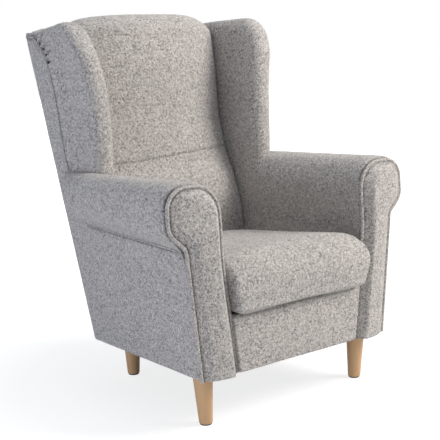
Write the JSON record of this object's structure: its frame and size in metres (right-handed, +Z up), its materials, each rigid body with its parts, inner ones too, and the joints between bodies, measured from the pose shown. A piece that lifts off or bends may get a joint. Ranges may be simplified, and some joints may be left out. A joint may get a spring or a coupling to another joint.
{
  "type": "wingback armchair",
  "caption": "Upholstered wingback armchair with scroll arms, padded back and wings, loose seat cushion and round tapered wooden legs.",
  "frame": {"origin": "on the floor, under the middle of the chair's bounding box", "axes": "+Z up, the front looks toward -Y, +X to the right of someone who faces the front along +Y"},
  "size_m": [0.811, 0.7852, 1.021],
  "materials": {
    "boucle": "looped light grey boucle upholstery cloth",
    "welt": "piping covered in the same cloth",
    "beech": "clear satin lacquer on turned beech",
    "glide": "moulded dark grey glide",
    "timber": "planed softwood, unfinished",
    "plywood": "birch plywood, unfinished",
    "hardboard": "brown hardboard",
    "foam": "open cell upholstery foam",
    "spring_steel": "oil tempered wire and sheet clips",
    "hardware_steel": "zinc plated",
    "webbing": "elastic woven webbing",
    "lining": "woven polypropylene spring cloth",
    "dust_cloth": "black nonwoven cloth",
    "zip": "nylon coil zip on woven tape"
  },
  "bodies": {
    "frame": {"apron_cover": "boucle", "apron_pad": "foam", "arm_cover_left": "boucle", "arm_cover_right": "boucle", "arm_liner_left": "hardboard", "arm_liner_right": "hardboard", "arm_pad_left": "foam", "arm_pad_right": "foam", "arm_rail_left": "timber", "arm_rail_right": "timber", "back_cover_lower": "boucle", "back_cover_upper": "boucle", "back_foam": "foam", "back_lining": "lining", "back_post_left": "timber", "back_post_right": "timber", "back_webbing": "webbing", "deck_cloth": "lining", "deck_pad": "foam", "dust_cover": "dust_cloth", "facing_panel_left": "boucle", "facing_panel_right": "boucle", "frame_screws": "hardware_steel", "front_leg_left": "beech", "front_leg_right": "beech", "front_post_left": "timber", "front_post_right": "timber", "front_rail": "timber", "leg_bolts": "hardware_steel", "leg_glides": "glide", "leg_nuts": "hardware_steel", "leg_plates": "plywood", "lumbar_rail": "timber", "rear_leg_left": "beech", "rear_leg_right": "beech", "rear_panel": "boucle", "rear_rail": "timber", "scroll_board_left": "plywood", "scroll_board_right": "plywood", "scroll_welt_left": "welt", "scroll_welt_right": "welt", "seat_springs": "spring_steel", "side_board_left": "hardboard", "side_board_right": "hardboard", "side_panel_left": "boucle", "side_panel_right": "boucle", "side_rail_left": "timber", "side_rail_right": "timber", "spring_clips": "spring_steel", "top_rail": "timber", "wing_board_left": "plywood", "wing_board_right": "plywood", "wing_cover_left": "boucle", "wing_cover_right": "boucle", "wing_pad_left": "foam", "wing_pad_right": "foam"},
    "seat_cushion": {"cushion_cover": "boucle", "cushion_foam": "foam", "cushion_zip": "zip"}
  },
  "joints": [
    {"name": "cushion_lift", "type": "slide", "parent": "frame", "child": "seat_cushion", "axis": [0, 0, 1], "range_m": [0, 0.3]}
  ]
}
